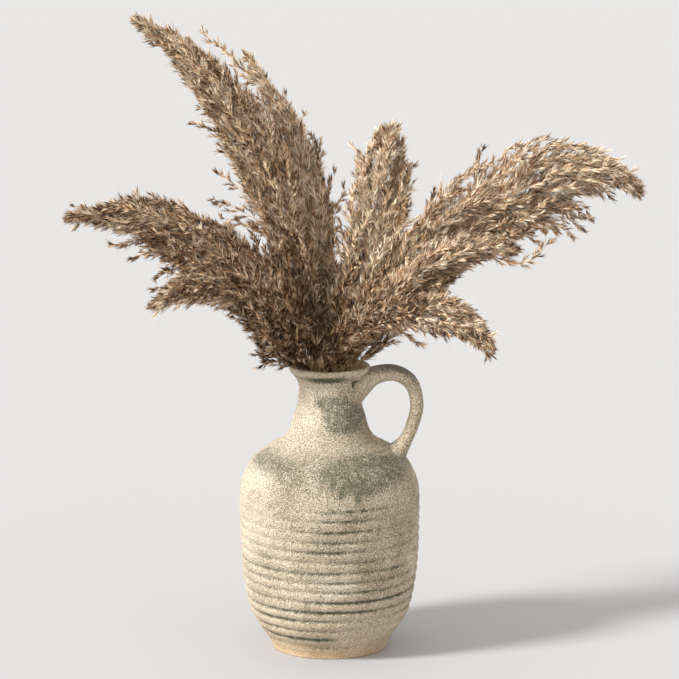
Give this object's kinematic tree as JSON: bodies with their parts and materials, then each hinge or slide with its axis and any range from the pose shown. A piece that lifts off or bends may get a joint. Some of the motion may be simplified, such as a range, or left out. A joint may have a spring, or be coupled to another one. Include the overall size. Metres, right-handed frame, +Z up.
{
  "type": "flower vase",
  "caption": "Stoneware jug vase with a loop handle, ribbed matte body and narrow neck, holding dried reed plumes that lift out one by one.",
  "frame": {"origin": "centre of the vase's flat foot, on the surface it stands on", "axes": "+Z up along the vase's turning axis, +X towards the loop handle, -Y towards the front that a viewer sees"},
  "size_m": [0.4845, 0.1737, 0.5297],
  "materials": {
    "stoneware": "matte",
    "straw": "matte",
    "plume": "matte"
  },
  "bodies": {
    "vase": {"vase_body": "stoneware", "handle": "stoneware"},
    "stem_right": {"stalk_right": "straw", "plume_right": "plume"},
    "stem_centre": {"stalk_centre": "straw", "plume_centre": "plume"},
    "stem_back_left": {"stalk_back_left": "straw", "plume_back_left": "plume"},
    "stem_tall_left": {"stalk_tall_left": "straw", "plume_tall_left": "plume"},
    "stem_left": {"stalk_left": "straw", "plume_left": "plume"},
    "stem_low_left": {"stalk_low_left": "straw", "plume_low_left": "plume"},
    "stem_low_right": {"stalk_low_right": "straw", "plume_low_right": "plume"},
    "stem_curled_right": {"stalk_curled_right": "straw", "plume_curled_right": "plume"}
  },
  "joints": [
    {"name": "lift_right", "type": "slide", "parent": "vase", "child": "stem_right", "axis": [0.2193, 0.0798, 0.9724], "range_m": [0, 0.25]},
    {"name": "lift_centre", "type": "slide", "parent": "vase", "child": "stem_centre", "axis": [0.0986, 0.2115, 0.9724], "range_m": [0, 0.25]},
    {"name": "lift_back_left", "type": "slide", "parent": "vase", "child": "stem_back_left", "axis": [-0.0798, 0.2193, 0.9724], "range_m": [0, 0.25]},
    {"name": "lift_tall_left", "type": "slide", "parent": "vase", "child": "stem_tall_left", "axis": [-0.2115, 0.0986, 0.9724], "range_m": [0, 0.25]},
    {"name": "lift_left", "type": "slide", "parent": "vase", "child": "stem_left", "axis": [-0.2193, -0.0798, 0.9724], "range_m": [0, 0.25]},
    {"name": "lift_low_left", "type": "slide", "parent": "vase", "child": "stem_low_left", "axis": [-0.0986, -0.2115, 0.9724], "range_m": [0, 0.25]},
    {"name": "lift_low_right", "type": "slide", "parent": "vase", "child": "stem_low_right", "axis": [0.0798, -0.2193, 0.9724], "range_m": [0, 0.25]},
    {"name": "lift_curled_right", "type": "slide", "parent": "vase", "child": "stem_curled_right", "axis": [0.2115, -0.0986, 0.9724], "range_m": [0, 0.25]}
  ]
}
